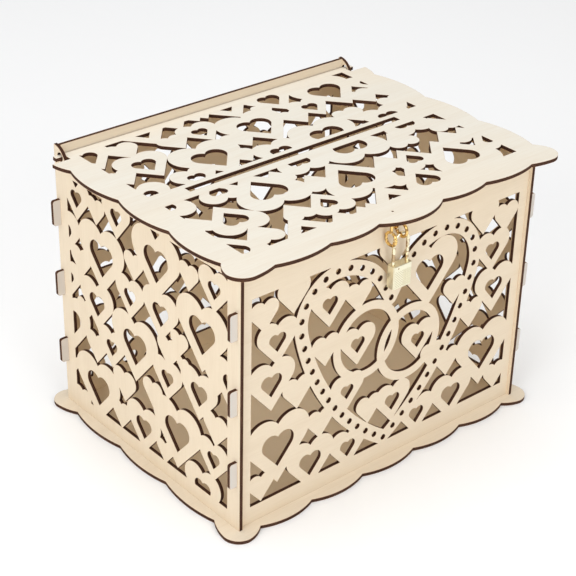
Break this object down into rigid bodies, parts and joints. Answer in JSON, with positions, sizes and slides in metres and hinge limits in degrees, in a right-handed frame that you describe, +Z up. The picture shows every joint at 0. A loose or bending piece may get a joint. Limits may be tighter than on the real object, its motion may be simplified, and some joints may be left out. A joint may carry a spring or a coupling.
{
  "type": "wedding_card_box",
  "caption": "Laser-cut plywood wedding card box with heart lattice walls, scalloped base and hinged lid with a card slot, closed by a small brass padlock on screw eyes",
  "frame": {"origin": "centre of the base plate's underside, midway between the side panels and between their front and rear edges", "axes": "+X to the right along the front, +Y towards the back, +Z up"},
  "size_m": [0.33, 0.267, 0.2395],
  "materials": {
    "ply": "raw laser-cut birch plywood with burnt edges",
    "brass_wire": "bright gold-plated",
    "brass_lock": "brushed pale gold",
    "spring_steel": "drawn wire"
  },
  "bodies": {
    "root": {"base_plate": "ply", "front_panel": "ply", "back_panel": "ply", "left_panel": "ply", "right_panel": "ply", "front_screw_eye": "brass_wire"},
    "lid": {"lid": "ply", "lid_screw_eye": "brass_wire"},
    "shackle": {"padlock_shackle": "brass_wire"},
    "padlock": {"padlock_body": "brass_lock", "padlock_spring": "spring_steel", "padlock_rivet": "brass_lock"},
    "plug": {"padlock_plug": "brass_lock"}
  },
  "joints": [
    {"name": "lid_hinge", "type": "hinge", "parent": "root", "child": "lid", "pos_m": [0, 0.1077, 0.2305], "axis": [-1, 0, 0], "range_deg": [0, 97]},
    {"name": "padlock_swing", "type": "hinge", "parent": "root", "child": "shackle", "pos_m": [0, -0.1197, 0.21035], "axis": [-1, 0, 0], "range_deg": [0, 90]},
    {"name": "shackle_release", "type": "slide", "parent": "shackle", "child": "padlock", "axis": [0, 0, -1], "range_m": [0, 0.005]},
    {"name": "plug_turn", "type": "hinge", "parent": "padlock", "child": "plug", "pos_m": [0, -0.1197, 0.1755], "axis": [0, 0, -1], "range_deg": [0, 90]}
  ]
}
